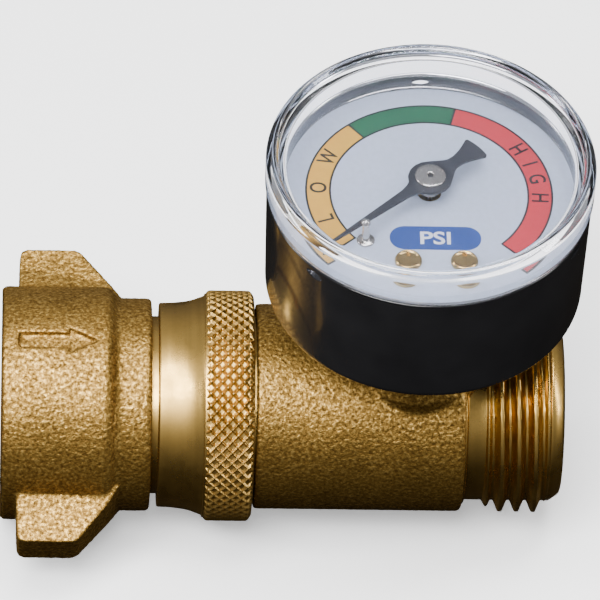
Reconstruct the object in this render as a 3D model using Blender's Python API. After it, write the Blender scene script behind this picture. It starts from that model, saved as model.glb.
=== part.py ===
"""Inline water pressure regulator with a pressure gauge, for a caravan's fresh-water inlet.

Frame: the origin is the centre of the inlet rim, +X is the direction of flow and
+Z is the gauge's axis, up. All driving dimensions below are in millimetres.
"""

import math

import bmesh
import bpy
from mathutils import Matrix, Vector

MM = 0.001
GAP = 0.3                      # clearance left between neighbouring pieces

# Flow axis: stations along +X, and radii
NUT_R = 15.4                   # swivel coupling, large diameter
NUT_STEP_X = 14.7              # end of the large diameter
NUT_BAND_R = 14.0              # smaller band behind it
NUT_END_X = 19.7
COLLAR_X = 20.65               # inlet cap: smooth collar
KNURL_X = 26.6                 # inlet cap: knurled ring
KNURL_END_X = 33.1
KNURL_R = 15.2
BODY_X = KNURL_END_X + GAP
BODY_R = 13.5
BODY_END_X = 60.8
THREAD_X = 63.7
THREAD_END_X = 72.3
TOTAL_X = 73.8
HOSE_PITCH = 2.209             # 3/4 in garden hose thread, 11.5 turns to the inch
MALE_CREST_R = 13.49
MALE_ROOT_R = 11.95
FEMALE_CREST_R = 12.35
FEMALE_ROOT_R = 13.6
TAIL_R = 11.7                  # inlet cap's tail, inside the swivel coupling
BODY_BORE_R = 11.5
OUTLET_BORE_R = 9.3
PISTON_TRAVEL = 1.6

# Wings of the swivel coupling
WING_R = 21.0
WING_TILT = math.radians(18)   # one wing points to -Y, this far below the level plane
WING_X = (2.2, 12.7, 16.2)     # start, end at the tip, end at the root
WING_T = 6.4

# Gauge axis: heights above the flow axis, and radii
GAUGE_X = 54.54
CASE_Z = 24.67
RIM_Z = 42.52                  # border between case and lens
LENS_Z = 47.89
CASE_BASE_R = 20.54
CASE_TOP_R = 20.95
LENS_TOP_R = 21.2
CASE_WALL = 0.9
DIAL_Z = 40.52                 # printed face
DIAL_T = 0.4
DIAL_R = 19.55
BOSS_R = 8.0
BOSS_Z = 17.5
PORT_R = 5.2

# Gauge movement
SWEEP_DEG = 267.0              # pointer, from the stop pin to full scale
REST_DEG = -138.0              # pointer's direction at rest, in the XY plane
TEETH_PINION = 10
TEETH_SECTOR = 60              # full circle's worth
GEAR_MODULE = 0.25
TUBE_R = 14.5
TAIL_PIN_R = 3.0
SECTOR_DEG = SWEEP_DEG * TEETH_PINION / TEETH_SECTOR
PIVOT_DX = -GEAR_MODULE * (TEETH_PINION + TEETH_SECTOR) / 2
TIP_PIN = (-9.9, 6.9)
LINK_Z = 31.1
SECTOR_Z = 32.1
PLATE_LOW_Z = 28.9
PLATE_HIGH_Z = 36.2
PLATE_T = 0.8
PILLARS = ((3.4, 3.4), (3.4, -3.4), (-11.2, -4.6))
DIAL_SCREW_DX = 3.7
DIAL_SCREW_DY = -12.6
STOP_PIN_R = 12.4
STOP_PIN_DEG = REST_DEG + 4.6
POINTER_Z = 43.2

MAIN_SEGMENTS = 32
GAUGE_SEGMENTS = 40
SMALL_SEGMENTS = 16

FINISHES = {                   # colour, metallic, roughness
    "cast_brass": ((0.30, 0.18, 0.055), 0.9, 0.5),
    "machined_brass": ((0.56, 0.37, 0.13), 1.0, 0.25),
    "spring_steel": ((0.45, 0.45, 0.47), 1.0, 0.35),
    "nickel": ((0.62, 0.59, 0.54), 1.0, 0.25),
    "phosphor_bronze": ((0.50, 0.28, 0.13), 1.0, 0.35),
    "black_rubber": ((0.015, 0.015, 0.015), 0.0, 0.8),
    "black_plastic": ((0.012, 0.012, 0.012), 0.0, 0.2),
    "white_plastic": ((0.75, 0.75, 0.72), 0.0, 0.45),
    "clear_plastic": ((0.9, 0.93, 0.95), 0.0, 0.03),
    "dial_print": ((0.45, 0.50, 0.60), 0.0, 0.5),
    "pointer_enamel": ((0.03, 0.035, 0.05), 0.0, 0.4),
}


# ---------------------------------------------------------------- helpers

def clear_scene():
    for obj in list(bpy.data.objects):
        bpy.data.objects.remove(obj, do_unlink=True)


def finish_material(name):
    """The shared material for one of the finishes."""
    material = bpy.data.materials.get(name)
    if material is None:
        colour, metallic, roughness = FINISHES[name]
        material = bpy.data.materials.new(name)
        material.use_nodes = True
        shader = material.node_tree.nodes["Principled BSDF"]
        shader.inputs["Base Color"].default_value = (*colour, 1)
        shader.inputs["Metallic"].default_value = metallic
        shader.inputs["Roughness"].default_value = roughness
    return material


def add_object(name, bm, finish, parent=None, origin=(0, 0, 0)):
    """Make an object from a bmesh in world millimetres, with its origin at a chosen point."""
    bmesh.ops.remove_doubles(bm, verts=bm.verts, dist=1e-4)
    bmesh.ops.recalc_face_normals(bm, faces=bm.faces)
    bmesh.ops.transform(bm, matrix=Matrix.Scale(MM, 4) @ Matrix.Translation(-Vector(origin)), verts=bm.verts)
    mesh = bpy.data.meshes.new(name)
    bm.to_mesh(mesh)
    bm.free()
    mesh.shade_smooth()
    mesh.set_sharp_from_angle(angle=math.radians(35))
    obj = bpy.data.objects.new(name, mesh)
    bpy.context.collection.objects.link(obj)
    if finish:
        mesh.materials.append(finish_material(finish))
    if parent:
        obj.parent = parent
        obj.location = (Vector(origin) - Vector(parent["origin_mm"])) * MM
    else:
        obj.location = Vector(origin) * MM
    return obj


def add_pivot(name, origin):
    """An empty on a joint's axis, which carries the pieces that move together."""
    pivot = bpy.data.objects.new(name, None)
    pivot.location = Vector(origin) * MM
    pivot["origin_mm"] = origin
    pivot.hide_render = True
    bpy.context.collection.objects.link(pivot)
    return pivot


def combine(target, operation, bm, name):
    """Union or cut another shape with an object through a Boolean modifier."""
    tool = add_object(name, bm, None)
    tool.hide_render = True
    tool.display_type = "WIRE"
    modifier = target.modifiers.new(name, "BOOLEAN")
    modifier.operation = operation
    modifier.solver = "EXACT"
    modifier.object = tool
    return tool


def place(axis, along, radius, angle):
    """A point at a station and radius: about X from +Y towards +Z, or about Z from +X to +Y."""
    c, s = radius * math.cos(angle), radius * math.sin(angle)
    return (along, c, s) if axis == "X" else (c, s, along)


def step_angle(j, segments):
    """Angle of a lathe's j-th edge, kept off the frame's planes by half a step."""
    return math.tau * (j + 0.5) / segments


def lathe(profile, axis="X", segments=MAIN_SEGMENTS, centre=(0, 0), closed=True):
    """Turn (station, radius) points about an axis; centre shifts the axis across itself."""
    bm = bmesh.new()
    rows = []
    for along, radius in profile:
        count = segments if radius > 1e-6 else 1
        rows.append([bm.verts.new(place(axis, along, radius, step_angle(j, segments)))
                     for j in range(count)])
    pairs = list(zip(rows, rows[1:])) + ([(rows[-1], rows[0])] if closed else [])
    for a, b in pairs:
        for j in range(segments):
            k = (j + 1) % segments
            corners = [a[j % len(a)], a[k % len(a)], b[k % len(b)], b[j % len(b)]]
            unique = list(dict.fromkeys(corners))
            if len(unique) > 2:
                bm.faces.new(unique)
    shift = (0, *centre) if axis == "X" else (*centre, 0)
    bmesh.ops.translate(bm, verts=bm.verts, vec=shift)
    return bm


def add_thread(bm, start, end, root, crest, segments=MAIN_SEGMENTS):
    """Add a helical band about X between two rings of the root radius."""
    profile = (0.0, 0.28, 0.50, 0.78)          # root end, crest start, crest end, root start
    radii = (root, crest, crest, root)
    count = len(profile)
    turns = int((end - start) / HOSE_PITCH) + 2
    grid = []
    for i in range(-count, turns * count):
        row = []
        for j in range(segments + 1):
            turn, phase = divmod(i, count)
            x = start + (turn + profile[phase] + j / segments) * HOSE_PITCH
            radius = radii[phase] if start < x < end else root
            x = min(max(x, start), end)
            row.append(bm.verts.new(place("X", x, radius, step_angle(j, segments))))
        grid.append(row)
    for a, b in zip(grid, grid[1:]):
        for j in range(segments):
            bm.faces.new((a[j], a[j + 1], b[j + 1], b[j]))


def add_knurl(bm, start, end, root, crest, segments, rows):
    """Add a band of diamond points about X, each diamond a pyramid between crossed grooves."""
    for i in range(rows):
        for j in range(segments):
            low = start + (end - start) * i / rows
            high = start + (end - start) * (i + 1) / rows
            a, b = step_angle(j, segments), step_angle(j + 1, segments)
            ring = [place("X", low, root, a), place("X", low, root, b),
                    place("X", high, root, b), place("X", high, root, a)]
            peak = bm.verts.new(place("X", (low + high) / 2, crest, (a + b) / 2))
            verts = [bm.verts.new(p) for p in ring]
            for k in range(4):
                bm.faces.new((verts[k], verts[(k + 1) % 4], peak))


def plate(outline, low, high, centre=(0, 0)):
    """Extrude an outline in the XY plane between two heights."""
    bm = bmesh.new()
    verts = [bm.verts.new((x + centre[0], y + centre[1], low)) for x, y in outline]
    face = bm.faces.new(verts)
    top = bmesh.ops.extrude_face_region(bm, geom=[face])["geom"]
    moved = [v for v in top if isinstance(v, bmesh.types.BMVert)]
    bmesh.ops.translate(bm, verts=moved, vec=(0, 0, high - low))
    return bm


def box(x0, x1, y0, y1, z0, z1):
    return plate([(x0, y0), (x1, y0), (x1, y1), (x0, y1)], z0, z1)


def rod(radius, low, high, centre=(0, 0), segments=12):
    """A plain round pin along Z."""
    return lathe([(low, 0), (low, radius), (high, radius), (high, 0)], "Z", segments, centre, closed=False)


def torus(along, mean_r, wire_r, axis="X", segments=MAIN_SEGMENTS, sides=6):
    turns = [math.tau * i / sides for i in range(sides)]
    return lathe([(along + wire_r * math.cos(t), mean_r + wire_r * math.sin(t)) for t in turns], axis, segments)


def sweep(points, frames, section):
    """Join a section's copies along a path; each frame is the section's two directions."""
    bm = bmesh.new()
    rings = []
    for point, (u, v) in zip(points, frames):
        rings.append([bm.verts.new(Vector(point) + Vector(u) * a + Vector(v) * b) for a, b in section])
    n = len(section)
    for ring, following in zip(rings, rings[1:]):
        for k in range(n):
            bm.faces.new((ring[k], ring[(k + 1) % n], following[(k + 1) % n], following[k]))
    bm.faces.new(rings[0])
    bm.faces.new(rings[-1])
    return bm


def on_gauge(x, y):
    """A point given from the gauge's axis, in the frame's XY plane."""
    return (GAUGE_X + x, y)


def polar(radius, degrees):
    return radius * math.cos(math.radians(degrees)), radius * math.sin(math.radians(degrees))


# ---------------------------------------------------------------- inlet side

def swivel_coupling(pivot):
    """Female hose coupling with two wings for the fingers and an arrow for the flow."""
    lip_r = TAIL_R + 0.35
    bm = lathe([(0.8, FEMALE_ROOT_R), (0.0, FEMALE_ROOT_R + 0.6), (0.0, NUT_R - 0.6), (0.5, NUT_R),
                (NUT_STEP_X - 0.8, NUT_R), (NUT_STEP_X, NUT_R - 0.5), (NUT_STEP_X + 0.6, NUT_BAND_R),
                (NUT_END_X - 0.5, NUT_BAND_R), (NUT_END_X, NUT_BAND_R - 0.5), (NUT_END_X, lip_r),
                (15.3, lip_r), (15.3, 13.3), (10.2, 13.3), (9.5, FEMALE_ROOT_R)], closed=False)
    add_thread(bm, 0.8, 9.5, FEMALE_ROOT_R, FEMALE_CREST_R)
    nut = add_object("swivel_coupling", bm, "cast_brass", pivot)
    for side, name in ((1, "wing_near"), (-1, "wing_far")):
        combine(nut, "UNION", wing(side), name)
    combine(nut, "DIFFERENCE", arrow(), "flow_arrow")
    return nut


def wing(side):
    """One finger wing: a tapered fin whose outlet end slopes down to the band."""
    direction = Vector((0, -math.cos(WING_TILT), -math.sin(WING_TILT))) * side
    across = Vector((1, 0, 0)).cross(direction)
    start, end_tip, end_root = WING_X
    inner = NUT_R - 1.2
    outline = [(start, inner), (start, WING_R - 1.0), (start + 1.0, WING_R),
               (end_tip - 2.4, WING_R), (end_tip - 1.2, WING_R - 0.8), (end_root - 1.9, inner)]
    bm = bmesh.new()
    sides = []
    for sign in (-1, 1):
        ring = []
        for x, r in outline:
            half = WING_T / 2 + (WING_R - r) * 0.16
            ring.append(bm.verts.new(Vector((x, 0, 0)) + direction * r + across * half * sign))
        sides.append(ring)
    bm.faces.new(sides[0])
    bm.faces.new(sides[1])
    for k in range(len(outline)):
        n = (k + 1) % len(outline)
        bm.faces.new((sides[0][k], sides[0][n], sides[1][n], sides[1][k]))
    return bm


def arrow():
    """The arrow's cutter, 0.5 deep in the large diameter, midway between the wings."""
    shaft, head, neck_x, x0, x1 = 1.0, 1.7, 8.9, 2.4, 12.4
    outline = [(x0, -shaft), (neck_x, -shaft), (neck_x, -head), (x1, 0), (neck_x, head), (neck_x, shaft),
               (x0, shaft)]
    bm = plate(outline, NUT_R - 0.5, NUT_R + 1.0)
    bmesh.ops.rotate(bm, verts=bm.verts, matrix=Matrix.Rotation(math.radians(12), 3, "X"))
    return bm


def inlet_cap():
    """Turned cap: tail for the coupling, collar, knurled ring and the skirt inside the body."""
    tail_bore, chamber, guide, spring_room = 8.0, 6.5, 4.8, 8.9
    bm = lathe([(KNURL_END_X - 0.3, KNURL_R - 0.4), (KNURL_END_X, KNURL_R - 0.9), (KNURL_END_X, 11.2),
                (35.5, 11.2), (35.5, 9.7), (37.5, 9.7), (37.5, 11.2), (39.6, 11.2), (40.0, 10.8),
                (40.0, spring_room), (30.5, spring_room), (30.5, guide), (28.7, guide), (28.7, 6.7),
                (26.5, 6.7), (26.5, guide), (24.5, guide), (24.5, chamber), (18.3, chamber),
                (18.3, tail_bore), (12.7, tail_bore), (12.7, TAIL_R - 0.4), (13.1, TAIL_R),
                (13.9, TAIL_R), (13.9, 10.7), (15.3, 10.7), (15.3, TAIL_R), (COLLAR_X, TAIL_R),
                (COLLAR_X, 13.2), (COLLAR_X + 0.3, 13.5), (23.6, 13.55), (25.4, 13.75),
                (KNURL_X - 0.2, 14.15), (KNURL_X, 14.5), (KNURL_X + 0.3, KNURL_R - 0.4)], closed=False)
    add_knurl(bm, KNURL_X + 0.3, KNURL_END_X - 0.3, KNURL_R - 0.4, KNURL_R, MAIN_SEGMENTS, 3)
    return add_object("inlet_cap", bm, "machined_brass")


def swivel_parts(pivot):
    """What the coupling carries or turns on: its washer and the snap ring in the tail's groove."""
    add_object("hose_washer", lathe([(9.7, 7.5), (9.7, 12.2), (12.4, 12.2), (12.4, 7.5)]), "black_rubber", pivot)
    bm = lathe([(14.2, 11.0), (14.2, 13.0), (15.0, 13.0), (15.0, 11.0)])
    ring = add_object("swivel_snap_ring", bm, "spring_steel")
    combine(ring, "DIFFERENCE", box(13.5, 15.7, -1.5, 1.5, -14.5, -9.5), "snap_ring_gap")


def filter_and_seat():
    """Inlet screen, the seat holder behind it and the rubber disc that the piston closes on."""
    screen = add_object("inlet_filter", lathe(
        [(13.0, 0), (13.1, 3.5), (13.6, 6.2), (14.3, 7.0), (14.3, 7.7), (14.9, 7.7), (14.9, 6.7),
         (14.2, 5.9), (13.7, 3.3), (13.6, 0)], segments=24, closed=False), "spring_steel")
    for k in range(9):
        angle = math.tau * (k + 0.3) / 9
        bm = lathe([(12.0, 0), (12.0, 1.2), (15.5, 1.2), (15.5, 0)], segments=6,
                   centre=(4.4 * math.cos(angle), 4.4 * math.sin(angle)), closed=False)
        combine(screen, "DIFFERENCE", bm, f"screen_hole_{k}")
    holder = add_object("seat_holder", lathe(
        [(16.0, 0), (16.0, 7.7), (18.0, 7.7), (18.0, 3.6), (21.3, 3.6), (21.3, 3.2), (19.8, 3.2), (19.8, 0)],
        segments=24, closed=False), "white_plastic")
    for k in range(4):
        angle = math.tau * (k + 0.5) / 4
        bm = lathe([(15.0, 0), (15.0, 1.7), (19.0, 1.7), (19.0, 0)], segments=10,
                   centre=(5.6 * math.cos(angle), 5.6 * math.sin(angle)), closed=False)
        combine(holder, "DIFFERENCE", bm, f"flow_hole_{k}")
    disc = [(20.1, 0), (20.1, 2.9), (21.6, 2.9), (21.6, 0)]
    add_object("seat_disc", lathe(disc, segments=SMALL_SEGMENTS, closed=False), "black_rubber")


# ---------------------------------------------------------------- regulating parts

def piston_parts():
    """Hollow piston with its ring, the stem's ring in the cap and the spring round the stem."""
    stem, bore, head = 4.5, 2.6, 11.1
    pivot = add_pivot("piston_axis", (40.0, 0, 0))
    add_object("piston", lathe(
        [(23.5, bore), (23.5, bore + 0.5), (24.2, stem), (43.0, stem), (43.0, head), (44.8, head),
         (44.8, 9.2), (46.9, 9.2), (46.9, head), (48.5, head), (48.5, bore)]),
        "machined_brass", pivot)
    add_object("piston_o_ring", torus(45.85, 10.4, 0.8), "black_rubber", pivot)
    add_object("stem_o_ring", torus(27.6, 5.6, 0.75, segments=SMALL_SEGMENTS), "black_rubber")
    add_object("body_seal_ring", torus(36.5, 10.6, 0.6), "black_rubber")


def regulating_spring():
    """Compression spring between the cap's web and the piston head, with closed ends."""
    mean, wire, turns, steps = 6.9, 0.75, 4.0, 14
    x0, x1 = 30.8 + wire, 42.7 - wire
    count = int(turns * steps)
    points, frames = [], []
    for i in range(count + 1):
        f = i / count
        angle = math.tau * turns * f
        points.append(place("X", x0 + (x1 - x0) * f, mean, angle))
        frames.append(((1, 0, 0), (0, math.cos(angle), math.sin(angle))))
    section = [(wire * math.cos(math.tau * k / 6), wire * math.sin(math.tau * k / 6)) for k in range(6)]
    add_object("regulating_spring", sweep(points, frames, section), "spring_steel")


def regulator_body():
    """Cast body with the gauge boss, machined neck and male hose thread."""
    bm = lathe([(THREAD_END_X, MALE_ROOT_R), (TOTAL_X - 0.5, 11.2), (TOTAL_X, 10.7),
                (TOTAL_X, OUTLET_BORE_R + 0.4), (TOTAL_X - 0.4, OUTLET_BORE_R), (48.8, OUTLET_BORE_R),
                (48.8, BODY_BORE_R), (BODY_X + 0.4, BODY_BORE_R), (BODY_X, BODY_BORE_R + 0.4),
                (BODY_X, BODY_R - 0.3), (BODY_X + 0.3, BODY_R), (BODY_END_X - 1.5, BODY_R),
                (BODY_END_X - 0.44, BODY_R - 0.44), (BODY_END_X, MALE_ROOT_R + 0.2),
                (BODY_END_X + 0.2, MALE_ROOT_R), (THREAD_X, MALE_ROOT_R)], closed=False)
    add_thread(bm, THREAD_X, THREAD_END_X, MALE_ROOT_R, MALE_CREST_R)
    body = add_object("regulator_body", bm, "cast_brass")
    boss = lathe([(6.0, 0), (6.0, BOSS_R), (BOSS_Z - 0.5, BOSS_R), (BOSS_Z, BOSS_R - 0.5), (BOSS_Z, 0)], "Z",
                 SMALL_SEGMENTS, on_gauge(0, 0), closed=False)
    boss = combine(body, "UNION", boss, "gauge_boss")
    wall = BODY_BORE_R + 0.5
    combine(boss, "DIFFERENCE", lathe([(BODY_X, 0), (BODY_X, wall), (TOTAL_X, wall), (TOTAL_X, 0)], closed=False),
            "boss_inside")
    port = lathe([(0.0, 0), (0.0, 2.4), (10.4, 2.4), (10.4, PORT_R), (BOSS_Z + 1, PORT_R), (BOSS_Z + 1, 0)],
                 "Z", SMALL_SEGMENTS, on_gauge(0, 0), closed=False)
    combine(body, "DIFFERENCE", port, "gauge_port")
    return body


# ---------------------------------------------------------------- gauge

def gauge_socket():
    """Threaded stem with wrench flats; its block inside the case carries tube and movement."""
    stem = add_object("gauge_socket", lathe(
        [(10.8, 1.5), (10.8, 4.7), (11.2, 4.9), (17.9, 4.9), (17.9, 4.2), (26.4, 4.2), (26.4, 1.5)],
        "Z", SMALL_SEGMENTS, on_gauge(0, 0)), "machined_brass")
    half = 5.6
    flats = plate([(-half, -half), (half, -half), (half, half), (-half, half)], 18.0, 23.0, on_gauge(0, 0))
    block = plate([(-10, -4.5), (10, -4.5), (10, 4.5), (6, 4.5), (6, 16), (0.6, 16), (0.6, 4.5), (-10, 4.5)],
                  26.0, 28.6, on_gauge(0, 0))
    post = plate([(0.6, 12.7), (3.2, 12.7), (3.2, 16), (0.6, 16)], 28.0, 34.9, on_gauge(0, 0))
    for name, bm in (("flats", flats), ("block", block), ("tube_post", post)):
        combine(stem, "UNION", bm, f"socket_{name}")
    combine(stem, "DIFFERENCE", rod(1.5, 9.0, 27.5, on_gauge(0, 0)), "socket_bore")
    for side in (-1, 1):
        combine(stem, "DIFFERENCE", rod(1.15, 25.0, 27.8, on_gauge(7.5 * side, 0)), f"case_screw_hole_{side}")


def case_parts():
    """Gauge case, the two screws that hold it to the socket, and the clear lens."""
    floor = 1.0
    case = add_object("gauge_case", lathe(
        [(CASE_Z + 0.5, CASE_BASE_R), (RIM_Z, CASE_TOP_R), (RIM_Z, CASE_TOP_R - CASE_WALL),
         (CASE_Z + floor, CASE_BASE_R - CASE_WALL), (CASE_Z + floor, 4.6), (CASE_Z, 4.6),
         (CASE_Z, CASE_BASE_R - 0.5)], "Z", GAUGE_SEGMENTS, on_gauge(0, 0)), "black_plastic")
    for side, name in ((-1, "left"), (1, "right")):
        at = on_gauge(7.5 * side, 0)
        combine(case, "DIFFERENCE", rod(1.15, CASE_Z - 1, CASE_Z + floor + 0.5, at), f"case_hole_{name}")
        head = CASE_Z - GAP
        profile = [(head - 1.0, 0), (head - 1.0, 1.2), (head - 0.6, 1.6), (head, 1.6), (head, 0.85),
                   (27.5, 0.85), (27.5, 0)]
        screw = add_object(f"case_screw_{name}", lathe(profile, "Z", 16, at, closed=False), "spring_steel")
        combine(screw, "DIFFERENCE", box(at[0] - 2, at[0] + 2, -0.2, 0.2, head - 1.5, head - 0.6),
                f"case_screw_slot_{name}")
    skirt_top, skirt_low, skirt_r = RIM_Z + 1.5, DIAL_Z + 0.5, CASE_TOP_R - CASE_WALL - GAP
    lens = add_object("gauge_lens", lathe(
        [(RIM_Z + GAP, CASE_TOP_R), (RIM_Z + 0.8, CASE_TOP_R + 0.2), (LENS_Z - 0.7, LENS_TOP_R),
         (LENS_Z, LENS_TOP_R - 0.7), (LENS_Z, 0), (LENS_Z - 1.5, 0), (LENS_Z - 1.5, skirt_r - 1.2),
         (skirt_top, skirt_r - 1.0), (skirt_low, skirt_r - 1.0), (skirt_low, skirt_r), (RIM_Z + GAP, skirt_r)],
        "Z", GAUGE_SEGMENTS, on_gauge(0, 0)), "clear_plastic")
    for k, degrees in enumerate((-136.0, -28.0, 92.0)):
        window = snap_box(degrees, skirt_r + 0.1, CASE_TOP_R + 1.0, 1.6, 41.0, 42.0)
        combine(case, "DIFFERENCE", window, f"snap_window_{k}")
        lug = snap_box(degrees, skirt_r - 0.6, CASE_TOP_R - 0.4, 1.2, 41.35, 41.65)
        combine(lens, "UNION", lug, f"snap_lug_{k}")


def snap_box(degrees, inner, outer, half, low, high):
    """A small block across the case wall at one snap."""
    bm = box(inner, outer, -half, half, low, high)
    turn = Matrix.Translation((GAUGE_X, 0, 0)) @ Matrix.Rotation(math.radians(degrees), 4, "Z")
    bmesh.ops.transform(bm, matrix=turn, verts=bm.verts)
    return bm


def bourdon_tube():
    """Flattened tube bent round the movement, closed by a tip with a pin for the link."""
    start, end, steps = 75.0, -215.0, 36
    points, frames = [], []
    for i in range(steps + 1):
        degrees = start + (end - start) * i / steps
        x, y = polar(TUBE_R, degrees)
        points.append((*on_gauge(x, y), 32.2))
        frames.append(((*polar(1, degrees), 0), (0, 0, 1)))
    section = [(-0.6, -1.6), (-0.25, -2.2), (0.25, -2.2), (0.6, -1.6), (0.6, 1.6), (0.25, 2.2), (-0.25, 2.2),
               (-0.6, 1.6)]
    add_object("bourdon_tube", sweep(points, frames, section), "phosphor_bronze")

    pivot = add_pivot("tube_tip_travel", (*on_gauge(*TIP_PIN), LINK_Z))
    turn = Matrix.Translation((GAUGE_X, 0, 0)) @ Matrix.Rotation(math.radians(end - 6.5), 4, "Z")
    bm = box(TUBE_R - 1.1, TUBE_R + 1.1, -1.2, 1.2, 30.0, 34.4)
    bmesh.ops.transform(bm, matrix=turn, verts=bm.verts)
    tip = add_object("tube_tip", bm, "machined_brass", pivot)
    x, y = TIP_PIN
    outline = [(x - 0.9, y), (x, y - 0.9), (x + 0.9, y), (x + 0.5, y + 2.3), (x - 0.9, y + 2.1)]
    lug = plate(outline, SECTOR_Z, SECTOR_Z + 0.8, on_gauge(0, 0))
    combine(tip, "UNION", lug, "tip_lug")
    combine(tip, "UNION", rod(0.45, LINK_Z - 0.4, SECTOR_Z + 0.4, on_gauge(*TIP_PIN), 12), "tip_pin")
    return pivot


def link(pivot):
    """Flat link from the tube's tip to the sector's tail, with running clearance at both pins."""
    tail = Vector(tail_pin())
    tip = Vector(TIP_PIN)
    along = (tail - tip).normalized()
    side = Vector((-along.y, along.x))
    outline = []
    for centre, sign in ((tip, -1), (tail, 1)):
        for k in range(7):
            t = math.pi * (k / 6 - 0.5)
            outline.append(tuple(centre + along * sign * 1.5 * math.cos(t) + side * sign * 1.5 * math.sin(t)))
    bm = plate(outline, LINK_Z, LINK_Z + 0.6, on_gauge(0, 0))
    piece = add_object("tube_link", bm, "machined_brass", pivot)
    for name, centre, radius in (("tip", tip, 0.8), ("tail", tail, 0.95)):
        hole = rod(radius, LINK_Z - 1, LINK_Z + 1.5, on_gauge(*centre), 12)
        combine(piece, "DIFFERENCE", hole, f"link_hole_{name}")


def tail_pin():
    """The sector's tail pin at rest, from the gauge's axis."""
    x, y = polar(TAIL_PIN_R, 180 - SECTOR_DEG / 2)
    return PIVOT_DX + x, y


def gear_outline(teeth, count, first, pitch_r):
    """Rim of a gear's tooth stretch: short trapezoid teeth with backlash, angles in radians."""
    addendum, dedendum, root_half, tip_half = 0.20, 0.34, 0.17, 0.08
    step = math.tau / teeth
    points = []
    for i in range(count):
        angle = first + i * step
        for offset, radius in ((-root_half, -dedendum), (-tip_half, addendum), (tip_half, addendum),
                               (root_half, -dedendum)):
            a = angle + offset / pitch_r
            points.append(((pitch_r + radius) * math.cos(a), (pitch_r + radius) * math.sin(a)))
    return points


def movement():
    """Toothed sector and pinion between two plates, with the hairspring that takes up backlash."""
    pivot_at = on_gauge(PIVOT_DX, 0)
    sector_r = GEAR_MODULE * TEETH_SECTOR / 2
    pinion_r = GEAR_MODULE * TEETH_PINION / 2
    low_pin, high_pin = PLATE_LOW_Z + 0.2, PLATE_HIGH_Z + PLATE_T - 0.2
    low_face, high_face = PLATE_LOW_Z + PLATE_T + GAP, PLATE_HIGH_Z - GAP
    arbor = [(low_pin, 0), (low_pin, 0.45), (low_face, 0.45), (low_face, 0.8), (high_face, 0.8),
             (high_face, 0.45)]

    sector_pivot = add_pivot("sector_axis", (*pivot_at, SECTOR_Z))
    shaft = lathe(arbor + [(high_pin, 0.45), (high_pin, 0)], "Z", 12, pivot_at, closed=False)
    sector = add_object("sector_gear", shaft, "machined_brass", sector_pivot, (*pivot_at, SECTOR_Z))
    mid = math.radians(-SECTOR_DEG / 2)
    teeth = 10
    step = math.tau / TEETH_SECTOR
    first = mid - step * (teeth - 1) / 2
    outline = gear_outline(TEETH_SECTOR, teeth, first, sector_r)
    outline += [polar(1.6, math.degrees(mid) + 60 + 40 * k) for k in range(2)]
    outline += [polar(TAIL_PIN_R + 0.9, 180 - SECTOR_DEG / 2 + 14 * k) for k in (-1, 0, 1)]
    outline += [polar(1.6, math.degrees(mid) - 100 + 40 * k) for k in range(2)]
    combine(sector, "UNION", plate(outline, SECTOR_Z, SECTOR_Z + 0.9, pivot_at), "sector_plate")
    combine(sector, "UNION", rod(0.45, LINK_Z - 0.4, SECTOR_Z + 0.4, on_gauge(*tail_pin()), 12), "tail_pin")

    pointer_pivot = add_pivot("pointer_axis", (*on_gauge(0, 0), POINTER_Z))
    shaft = lathe(arbor + [(POINTER_Z + 0.1, 0.45), (POINTER_Z + 0.1, 0)], "Z", 12, on_gauge(0, 0), closed=False)
    pinion = add_object("pinion_arbor", shaft, "machined_brass", pointer_pivot, (*on_gauge(0, 0), POINTER_Z))
    # A gap between two pinion teeth faces the sector's tooth, or the reverse, along the line of centres.
    to_centre = -(first + step * round(-first / step))
    phase = math.pi + math.pi / TEETH_PINION - to_centre * TEETH_SECTOR / TEETH_PINION
    outline = gear_outline(TEETH_PINION, TEETH_PINION, -phase, pinion_r)
    combine(pinion, "UNION", plate(outline, SECTOR_Z - 0.3, SECTOR_Z + 1.3, on_gauge(0, 0)), "pinion_teeth")
    hairspring()
    return pointer_pivot


def hairspring():
    turns, steps, inner, outer, level = 3.5, 16, 1.25, 3.3, 34.6
    count = int(turns * steps)
    points, frames = [], []
    for i in range(count + 1):
        degrees = 360 * turns * i / count
        x, y = polar(inner + (outer - inner) * i / count, degrees)
        points.append((*on_gauge(x, y), level))
        frames.append(((*polar(1, degrees), 0), (0, 0, 1)))
    section = [(-0.07, -0.25), (0.07, -0.25), (0.07, 0.25), (-0.07, 0.25)]
    add_object("hairspring", sweep(points, frames, section), "phosphor_bronze")


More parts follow.
